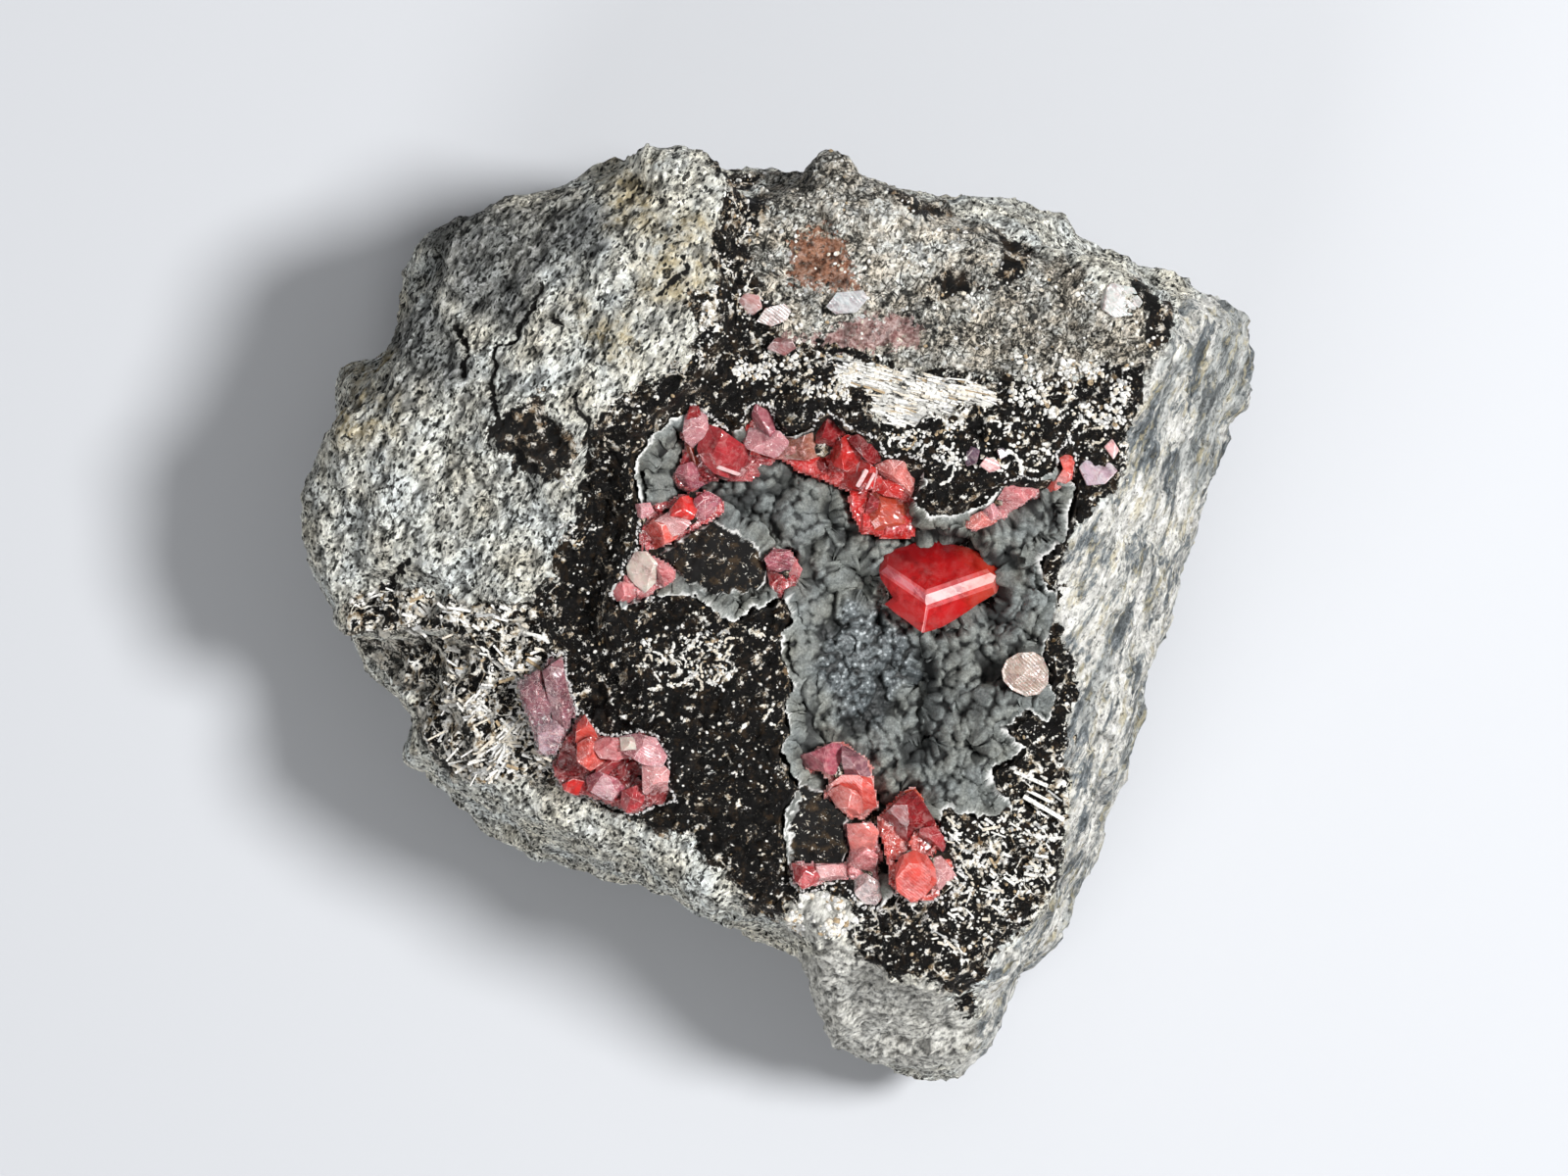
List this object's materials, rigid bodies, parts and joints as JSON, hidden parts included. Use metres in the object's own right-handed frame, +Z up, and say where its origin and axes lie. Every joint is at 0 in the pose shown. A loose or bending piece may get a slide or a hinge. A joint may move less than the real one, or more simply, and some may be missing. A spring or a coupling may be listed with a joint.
{
  "type": "rhodochrosite specimen",
  "caption": "Mineral specimen: a lump of pale rock with a dark-lined hollow in its upper face and rose-red rhodochrosite crystals in it.",
  "frame": {"origin": "on the flat base, under the middle of the rock", "axes": "+Z up out of the hollow, +X towards the steep white side, +Y towards the far edge"},
  "size_m": [0.1128, 0.1109, 0.0551],
  "materials": {
    "pale_rock": "matte, granular, mottled grey, cream, ochre and black",
    "dark_crust": "satin, botryoidal, slate grey",
    "rose_red_crystal": "glassy, see-through",
    "deep_rose_crystal": "glassy, see-through",
    "red_crystals": "glassy, see-through",
    "frosted_rose_crystal": "glassy, see-through",
    "pale_pink_crystal": "glassy, see-through",
    "streaked_pink_crystal": "glassy, see-through",
    "salmon_strip_crystal": "glassy, see-through",
    "mauve_crystal": "glassy, see-through",
    "pink_red_crystals": "glassy, see-through",
    "salmon_crystal": "glassy, see-through",
    "grey_pink_crystal": "glassy, see-through",
    "small_rim_crystal": "glassy, see-through",
    "coral_crystals": "glassy, see-through",
    "pale_orange_crystal": "glassy, see-through"
  },
  "bodies": {
    "root": {"matrix": "pale_rock", "vug_lining": "dark_crust", "main_crystal": "rose_red_crystal", "upper_left_crystal": "deep_rose_crystal", "upper_crystals": "red_crystals", "left_upper_crystal": "frosted_rose_crystal", "left_lower_crystal": "pale_pink_crystal", "island_crystal": "streaked_pink_crystal", "right_strip_crystal": "salmon_strip_crystal", "mauve_plate_crystal": "mauve_crystal", "pocket_crystals": "pink_red_crystals", "salmon_crystal": "salmon_crystal", "grey_pink_plate_crystal": "grey_pink_crystal", "small_rim_crystal": "small_rim_crystal", "lower_crystals": "coral_crystals", "disc_crystal": "pale_orange_crystal"}
  },
  "joints": []
}
